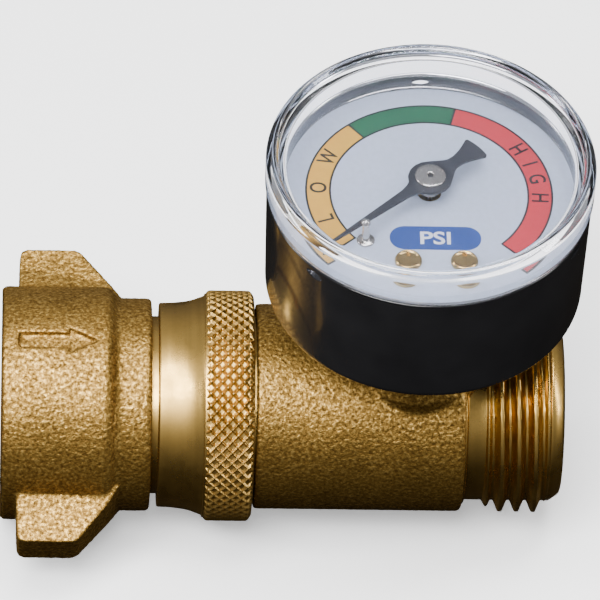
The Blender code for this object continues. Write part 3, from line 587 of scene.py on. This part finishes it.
def regulator_body():
    """The sand-cast body with its boss, and what was machined on it: neck, thread and bore."""
    shell_profile = rounded([(BODY_X, 12.4), (BODY_X, BODY_R, 0.35), (BODY_END_X, BODY_R, 2.0),
                             (BODY_END_X, 12.0), (BODY_END_X - 1.0, 11.8)])
    shell = raw_object("body_casting", turned(shell_profile))
    boss = turned(rounded([(10.5, 0), (10.5, 8.0), (17.5, 8.0, 0.8), (17.5, 0)]), "Z", 96, (GAUGE_X, 0),
                  False)
    root = turned([(9.5, 0), (9.5, 9.6), (11.2, 9.4), (12.6, 8.6), (14.2, 8.0), (14.2, 0)], "Z", 96,
                  (GAUGE_X, 0), False)
    cut(shell, [root, boss], "UNION")
    port = turned([(5.0, 0), (5.0, 5.2), (19.0, 5.2), (19.0, 0)], "Z", 64, (GAUGE_X, 0), False)
    bore = turned([(BODY_X - 1, 0), (BODY_X - 1, 12.4), (BODY_END_X - 1.5, 12.4), (BODY_END_X - 1.5, 0)],
                  closed=False)
    cut(shell, [port, bore])
    casting(shell, 0.22, 4, 0.04, 11.0)
    dress(shell, CAST, "regulator", "cast_brass", "regulator_body", sharp=180)

    def thread(x, r, angle):
        if not THREAD_X <= x <= THREAD_END_X or r < 11.5:
            return r
        return r + hose_ridge(x, angle, THREAD_X, THREAD_END_X)

    step = 0.1
    rows = [(THREAD_X + step * k, NECK_R) for k in range(int((THREAD_END_X - THREAD_X) / step))]
    start = [(BODY_X + 0.1, 12.2), (BODY_END_X - 1.2, 12.2), (BODY_END_X - 0.6, 12.6),
             (BODY_END_X + 0.12, 12.6), (BODY_END_X + 0.3, 12.35), (BODY_END_X + 0.35, 12.0),
             (BODY_END_X + 0.5, NECK_R)]
    tip = [(THREAD_END_X, NECK_R), (THREAD_END_X + 0.3, NECK_R), (TOTAL_X - 0.9, 11.6),
           (TOTAL_X - 0.35, 11.2), (TOTAL_X - 0.1, 10.95), (TOTAL_X, 10.6), (TOTAL_X, 9.8),
           (TOTAL_X - 0.15, 9.5), (TOTAL_X - 0.5, 9.3), (48.8, 9.3), (48.8, 11.5), (BODY_X + 0.1, 11.5)]
    outlet = turned(start + rows + tip, segments=240, shape=thread)
    make_piece("outlet_turning", outlet, TURNED_X, "regulator", "machined_brass", sharp=40)


def piston():
    """The hollow piston, seen down the outlet's bore, with the groove for its ring."""
    bm = turned(rounded([
        (23.5, 2.6), (23.5, 3.1, 0.2), (24.2, 4.5, 0.3), (43.0, 4.5), (43.0, 11.1, 0.3), (44.8, 11.1),
        (44.8, 9.2), (46.9, 9.2), (46.9, 11.1), (48.5, 11.1, 0.4), (48.5, 4.2, 0.5), (47.8, 2.6, 0.3)]),
        segments=128)
    make_piece("piston_turning", bm, TURNED_X, "piston", "machined_brass", "piston")


# ---------------------------------------------------------------- gauge

def on_gauge(bm):
    """Shift a shape drawn round the gauge's axis to its place."""
    bmesh.ops.translate(bm, verts=bm.verts, vec=(GAUGE_X, 0, 0))
    return bm


def slotted_head(name, profile, segments, at, half, heights):
    """A turned screw head with a straight slot, cut by a bar of these half widths between two heights."""
    head = raw_object(name, turned(profile, "Z", segments, at, False))
    x, y = half
    bar = plate([(-x, -y), (x, -y), (x, y), (-x, y)], *heights)
    bmesh.ops.translate(bar, verts=bar.verts, vec=(*at, 0))
    return cut(head, [bar])


def gauge_outside():
    """Socket with wrench flats, black case with snap windows, case screws and clear lens."""
    stem = turned(rounded([(10.8, 1.5), (10.8, 4.6, 0.3), (18.2, 4.9), (18.2, 4.2), (26.0, 4.2),
                           (26.0, 1.5)]), "Z", 96, (GAUGE_X, 0))
    half = 5.6
    corner = half - 1.3
    outline = [(-half, -corner), (-corner, -half), (corner, -half), (half, -corner), (half, corner),
               (corner, half), (-corner, half), (-half, corner)]
    flats = on_gauge(plate(outline, 18.0, 23.2, 0.25))
    make_piece("socket_stem", joined(stem, flats), TURNED_Z, "regulator", "machined_brass", "gauge_socket")

    case_profile = rounded([(CASE_Z, 4.6), (CASE_Z, CASE_BASE_R, 1.3), (RIM_Z, CASE_TOP_R, 0.2),
                            (RIM_Z, CASE_TOP_R - 0.9, 0.15), (CASE_Z + 1.0, CASE_BASE_R - 0.9, 1.0),
                            (CASE_Z + 1.0, 4.6)], 8)
    case = raw_object("case_shell", turned(case_profile, "Z", 256, (GAUGE_X, 0)))
    windows = []
    for degrees in SNAP_WINDOWS:
        bm = turned(rounded([(17.0, 0), (17.0, 1.0), (24.0, 1.0), (24.0, 0)]), "X", 48, closed=False)
        bmesh.ops.scale(bm, verts=bm.verts, vec=(1, 1.35, 0.62))
        around = Matrix.Rotation(math.radians(degrees), 4, "Z")
        turn = Matrix.Translation((GAUGE_X, 0, RIM_Z - 1.25)) @ around
        bmesh.ops.transform(bm, matrix=turn, verts=bm.verts)
        windows.append(bm)
    cut(case, windows)
    dress(case, CASE_BLACK, "regulator", "black_plastic", "gauge_case")

    for side, name in ((-1, "left"), (1, "right")):
        at = (GAUGE_X + 7.5 * side, 0)
        head = CASE_Z - 0.25
        profile = rounded([(head - 1.1, 0), (head - 1.1, 1.1, 0.4), (head - 0.5, 1.6, 0.3),
                           (head, 1.6, 0.1), (head, 0)])
        screw = slotted_head(f"case_screw_head_{name}", profile, 48, at, (3, 0.25), (head - 2, head - 0.6))
        dress(screw, STEEL, "regulator", "spring_steel", f"case_screw_{name}")
    lens()


def lens():
    """Clear lens: a flat window in a thick turned rim, with a skirt that snaps into the case."""
    rim, inner, window, skirt_low = RIM_Z + 0.28, 18.95, LENS_Z - 0.45, DIAL_Z + 0.5
    profile = rounded([
        (rim, 19.75, 0.05), (rim, CASE_TOP_R + 0.02, 0.15), (rim + 0.5, CASE_TOP_R + 0.2, 0.2),
        (LENS_Z - 0.9, LENS_R, 0.3), (LENS_Z - 0.1, LENS_R - 0.75, 0.35), (LENS_Z, 20.2, 0.15),
        (LENS_Z, 19.9, 0.1), (window, 19.55, 0.15), (window, 0), (window - 1.4, 0), (window - 1.4, inner, 0.5),
        (skirt_low, inner + 0.12, 0.15), (skirt_low, 19.75, 0.15)], 5)
    bm = turned(profile, "Z", 256, (GAUGE_X, 0))
    make_piece("lens_window", bm, CLEAR, "regulator", "clear_plastic", "gauge_lens", sharp=24)


def arc_strip(inner, outer, start, end, low, high):
    """A flat piece of a ring between two angles in degrees."""
    steps = max(2, int(abs(end - start) / 1.5))
    angles = [start + (end - start) * k / steps for k in range(steps + 1)]
    bm = bmesh.new()
    rows = []
    for degrees in angles:
        rows.append([bm.verts.new((*polar(r, degrees, (GAUGE_X, 0)), z))
                     for r, z in ((inner, low), (outer, low), (outer, high), (inner, high))])
    for a, b in zip(rows, rows[1:]):
        for k in range(4):
            bm.faces.new((a[k], a[(k + 1) % 4], b[(k + 1) % 4], b[k]))
    bm.faces.new(rows[0])
    bm.faces.new(rows[-1])
    return bm


def lettering(text, height, condense, weight):
    """A word as a thin bmesh in millimetres, centred on its own middle."""
    curve = bpy.data.curves.new("lettering", "FONT")
    curve.body = text
    curve.align_x = "CENTER"
    curve.extrude = 0.01
    curve.offset = weight
    curve.resolution_u = 6
    obj = bpy.data.objects.new("lettering", curve)
    bpy.context.scene.collection.objects.link(obj)
    graph = bpy.context.evaluated_depsgraph_get()
    mesh = bpy.data.meshes.new_from_object(obj.evaluated_get(graph))
    bpy.data.objects.remove(obj)
    bpy.data.curves.remove(curve)
    bm = bmesh.new()
    bm.from_mesh(mesh)
    bpy.data.meshes.remove(mesh)
    low = Vector([min(v.co[k] for v in bm.verts) for k in range(3)])
    high = Vector([max(v.co[k] for v in bm.verts) for k in range(3)])
    size = height / (high.y - low.y)
    bmesh.ops.translate(bm, verts=bm.verts, vec=-(low + high) / 2)
    bmesh.ops.scale(bm, verts=bm.verts, vec=(size * condense, size, 1))
    return bm


def dial():
    """The dial and its print: LOW, a safe band and HIGH, outlined in black, and a unit label."""
    plate_profile = rounded([(dial_low.z, 1.6), (dial_low.z, DIAL_R, 0.05), (DIAL_Z, DIAL_R, 0.05),
                             (DIAL_Z, 1.6)])
    make_piece("dial_face", turned(plate_profile, "Z", 192, (GAUGE_X, 0)), DIAL_WHITE, "regulator",
               "dial_print", "dial")
    inner, outer, line = 13.05, 16.2, 0.13
    start, low_end, safe_end, stop = 220.6, 130.0, 76.2, -44.7
    base = DIAL_Z + 0.005
    for name, a, b, ink in (("low", start, low_end, INK_YELLOW), ("safe", low_end, safe_end, INK_GREEN),
                            ("high", safe_end, stop, INK_RED)):
        strip = arc_strip(inner, outer, a, b, base, base + 0.02)
        make_piece(f"dial_band_{name}", strip, ink, "regulator", "dial_print")
    lines = [arc_strip(r - line, r + line, start, stop, base, base + 0.035) for r in (inner, outer)]
    for degrees in (start, low_end, safe_end, stop):
        half = math.degrees(line / 14.6)
        lines.append(arc_strip(inner - line, outer + line, degrees - half, degrees + half, base, base + 0.036))
    make_piece("dial_outlines", joined(*lines), INK_BLACK, "regulator", "dial_print")

    letters = [("L", 199.8), ("O", 177.6), ("W", 154.6), ("H", 34.6), ("I", 22.6), ("G", 11.2),
               ("H", -2.6)]
    shapes = []
    for letter, degrees in letters:
        bm = lettering(letter, 2.25, 0.8, 0.012)
        x, y = polar(14.62, degrees, (GAUGE_X, 0))
        upright = Matrix.Rotation(math.radians(degrees - 90), 4, "Z")
        turn = Matrix.Translation((x, y, base + 0.045)) @ upright
        bmesh.ops.transform(bm, matrix=turn, verts=bm.verts)
        shapes.append(bm)
    make_piece("dial_letters", joined(*shapes), INK_BLACK, "regulator", "dial_print")
    unit_label(base)


def unit_label(base):
    """A plain rounded bar with the unit of pressure."""
    x0, y0, half_x, half_y, corner = GAUGE_X + 0.6, -8.3, 6.0, 2.1, 2.0
    outline = []
    for quarter, (sx, sy) in enumerate(((1, 1), (-1, 1), (-1, -1), (1, -1))):
        centre = (x0 + sx * (half_x - corner), y0 + sy * (half_y - corner))
        outline += [polar(corner, 90 * quarter + 15 * k, centre) for k in range(7)]
    make_piece("dial_unit_bar", plate(outline, base, base + 0.02), INK_BLUE, "regulator", "dial_print")
    text = lettering("PSI", 2.3, 1.15, 0.02)
    bmesh.ops.translate(text, verts=text.verts, vec=(x0, y0, base + 0.03))
    make_piece("dial_unit_text", text, INK_WHITE, "regulator", "dial_print")


def dial_hardware():
    """Two slotted brass screws and the nickel stop pin with its ball end."""
    for side, name in ((-1, "left"), (1, "right")):
        at = (GAUGE_X + 0.6 + 3.66 * side, -12.6)
        z = DIAL_Z + 0.02
        profile = rounded([(z, 0), (z, 1.8, 0.1), (z + 0.45, 1.8, 0.2), (z + 0.75, 1.5, 0.15),
                           (z + 0.55, 1.25, 0.1), (z + 0.5, 0)])
        screw = slotted_head(f"dial_screw_head_{name}", profile, 64, at, (0.26, 1.32), (z + 0.15, z + 1.5))
        dress(screw, BRIGHT_SCREW, "regulator", "dial_screw_brass", f"dial_screw_{name}")
    x, y = polar(12.4, REST_DEG + 4.6, (GAUGE_X, 0))
    z = DIAL_Z + 0.02
    ball = [(44.3 + 0.62 * math.sin(a), 0.62 * math.cos(a)) for a in (-0.5, -0.2, 0.2, 0.6, 1.0, 1.3)]
    pin = rounded([(z, 0), (z, 1.2, 0.1), (z + 0.35, 1.2, 0.25), (z + 0.5, 0.5, 0.2), (43.9, 0.46)])
    bm = turned(pin + ball + [(44.92, 0)], "Z", 48, (x, y), False)
    make_piece("stop_pin_turning", bm, NICKEL, "regulator", "nickel", "stop_pin")


def pointer():
    """The enamelled pointer: a slim blade, a round hub and a tail that fans out."""
    blade = [(17.6, 0.07), (17.2, 0.17), (12.5, 0.36), (8.0, 0.54), (4.4, 0.70), (3.3, 0.95)]
    hub = [polar(2.9, 26 + 21.3 * k) for k in range(6)]
    neck = [(-3.4, 1.15), (-4.0, 0.88), (-5.0, 0.88), (-6.2, 1.15), (-7.4, 1.62), (-8.1, 1.95)]
    tail = [polar(8.6, 180 - degrees) for degrees in (12.2, 8, 4, 0)]
    upper = blade + hub + neck + tail
    outline = upper + [(x, -y) for x, y in reversed(upper[:-1])]
    bm = plate(outline, POINTER_Z, POINTER_Z + 0.4, 0.05)
    turn = Matrix.Translation((GAUGE_X, 0, 0)) @ Matrix.Rotation(math.radians(REST_DEG), 4, "Z")
    bmesh.ops.transform(bm, matrix=turn, verts=bm.verts)
    make_piece("pointer_blade", bm, POINTER_PAINT, "pointer", "pointer_enamel", "pointer")
    top = POINTER_Z + 0.42
    cap = rounded([(41.0, 0.55), (41.0, 1.35, 0.1), (42.2, 1.45, 0.1), (42.4, 1.7, 0.1),
                   (43.1, 1.7, 0.1), (43.19, 1.2), (top, 1.2), (top, 2.02, 0.05),
                   (top + 0.38, 2.02, 0.2), (top + 0.5, 1.2, 0.3), (top + 0.5, 0.5, 0.1),
                   (top + 0.36, 0.38, 0.05), (top + 0.1, 0.36)])
    make_piece("pointer_cap", turned(cap, "Z", 96, (GAUGE_X, 0)), NICKEL, "pointer", "nickel",
               "pointer_hub")


# ---------------------------------------------------------------- pieces inside

INNER_FINISHES = {
    "seat_holder": WHITE_PLASTIC, "seat_disc": RUBBER, "stem_o_ring": RUBBER, "body_seal_ring": RUBBER,
    "piston_o_ring": RUBBER, "regulating_spring": STEEL, "bourdon_tube": BRONZE, "hairspring": BRONZE,
    "tube_tip": TURNED_Z, "tube_link": TURNED_Z, "sector_gear": TURNED_Z, "pinion_arbor": TURNED_Z,
    "back_plate": TURNED_Z, "front_plate": TURNED_Z, "dial_post_left": TURNED_Z, "dial_post_right": TURNED_Z,
}


def finish_inner_nodes():
    """The CAD nodes that stay: seals, spring and the gauge's movement."""
    finishes = dict(INNER_FINISHES)
    for k in (1, 2, 3):
        finishes[f"pillar_{k}"] = TURNED_Z
        finishes[f"plate_screw_{k}"] = STEEL
    for name, material in finishes.items():
        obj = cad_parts[name]
        obj.data.materials.clear()
        obj.data.materials.append(material)


# ---------------------------------------------------------------- floor, light and camera

FLOOR_HALF = 6.0
FLOOR_Z = -0.0156  # just under the coupling, the lowest piece
LIT_POINT = (0.037, 0.0, 0.01)


def stage():
    """A pale floor, which shiny surfaces don't mirror, under a studio sky that darkens downwards."""
    half, level = FLOOR_HALF, FLOOR_Z
    mesh = bpy.data.meshes.new("floor")
    corners = [(-half, -half, level), (half, -half, level), (half, half, level), (-half, half, level)]
    mesh.from_pydata(corners, [], [(0, 1, 2, 3)])
    floor = bpy.data.objects.new("floor", mesh)
    bpy.context.scene.collection.objects.link(floor)
    paper = new_material("floor_paper", (0.95, 0.95, 0.95), 0.0, 0.9, Emission_Strength=0.45)
    paper.node_tree.nodes["Principled BSDF"].inputs["Emission Color"].default_value = (1, 1, 1, 1)
    mesh.materials.append(paper)
    floor.visible_glossy = False
    floor.visible_diffuse = False

    world = bpy.data.worlds.new("studio")
    world.use_nodes = True
    bpy.context.scene.world = world
    tree = world.node_tree
    background = tree.nodes["Background"]
    where = tree.nodes.new("ShaderNodeTexCoord")
    split = tree.nodes.new("ShaderNodeSeparateXYZ")
    lift = tree.nodes.new("ShaderNodeMapRange")
    lift.inputs["From Min"].default_value = -1.0
    ramp = tree.nodes.new("ShaderNodeValToRGB")
    elements = ramp.color_ramp.elements
    elements[0].position, elements[0].color = 0.30, (0.03, 0.025, 0.02, 1)
    elements[1].position, elements[1].color = 0.75, (0.85, 0.87, 0.90, 1)
    middle = elements.new(0.5)
    middle.color = (0.30, 0.30, 0.31, 1)
    tree.links.new(where.outputs["Generated"], split.inputs["Vector"])
    tree.links.new(split.outputs["Z"], lift.inputs["Value"])
    tree.links.new(lift.outputs["Result"], ramp.inputs["Fac"])
    tree.links.new(ramp.outputs["Color"], background.inputs["Color"])
    background.inputs["Strength"].default_value = 0.5


def area_light(name, location, size, power):
    """A soft rectangular light that faces the middle of the regulator."""
    data = bpy.data.lights.new(name, "AREA")
    data.shape = "RECTANGLE"
    data.size, data.size_y = size
    data.energy = power
    light = bpy.data.objects.new(name, data)
    light.location = location
    direction = Vector(LIT_POINT) - Vector(location)
    light.rotation_euler = direction.to_track_quat("-Z", "Y").to_euler()
    bpy.context.scene.collection.objects.link(light)


def lights():
    area_light("key_softbox", (-0.15, -0.35, 0.62), (0.45, 0.22), 9.0)
    area_light("top_softbox", (0.05, -0.02, 0.75), (0.6, 0.22), 8.0)
    area_light("left_strip", (-0.6, 0.05, 0.30), (0.12, 0.5), 3.0)
    area_light("right_strip", (0.6, -0.10, 0.35), (0.12, 0.5), 2.5)


def camera():
    """Long lens from above the front, rolled a little, as the regulator is usually pictured."""
    target = Vector((0.03900, 0.00540, 0.01490))
    azimuth, elevation, roll, distance = -3.11, 47.27, 3.10, 1.0626
    a, e = math.radians(azimuth), math.radians(elevation)
    back = Vector((math.sin(a) * math.cos(e), -math.cos(a) * math.cos(e), math.sin(e)))
    data = bpy.data.cameras.new("camera")
    data.lens, data.sensor_width = 486.4, 36.0
    data.clip_start, data.clip_end = 0.01, 50.0
    view = bpy.data.objects.new("camera", data)
    bpy.context.scene.collection.objects.link(view)
    look = (-back).to_track_quat("-Z", "Y").to_matrix().to_4x4()
    view.matrix_world = Matrix.Translation(target + back * distance) @ look @ Matrix.Rotation(
        math.radians(roll), 4, "Z")
    bpy.context.scene.camera = view


coupling()
inlet_cap()
inlet_screen()
regulator_body()
piston()
gauge_outside()
dial()
dial_hardware()
pointer()
finish_inner_nodes()
stage()
lights()
camera()
